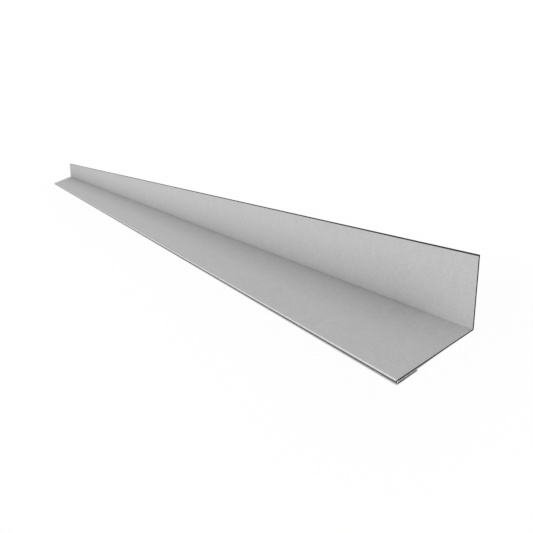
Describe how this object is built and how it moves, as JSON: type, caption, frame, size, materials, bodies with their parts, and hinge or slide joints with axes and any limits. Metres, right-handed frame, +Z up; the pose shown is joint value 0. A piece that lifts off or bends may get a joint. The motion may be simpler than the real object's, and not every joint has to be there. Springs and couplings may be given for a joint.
{
  "type": "brick ledge flashing",
  "caption": "Long bent sheet-metal flashing: an upright back flange, a ledge leg that slopes out at an obtuse angle, and an open hem folded back under its front edge.",
  "frame": {"origin": "On the floor under the middle of the piece: half way along its length, half way across its width, at the height it rests on.", "axes": "+X along the length, +Y from the hemmed front edge towards the back flange, +Z up as it rests on a floor. Installed, it is turned 22.9 degrees about X so that the back flange stands upright and the leg slopes down to the front."},
  "size_m": [3.048, 0.1312, 0.0704],
  "materials": {
    "galvanised_sheet": "matte"
  },
  "bodies": {
    "root": {"ledge_flashing": "galvanised_sheet"}
  },
  "joints": []
}
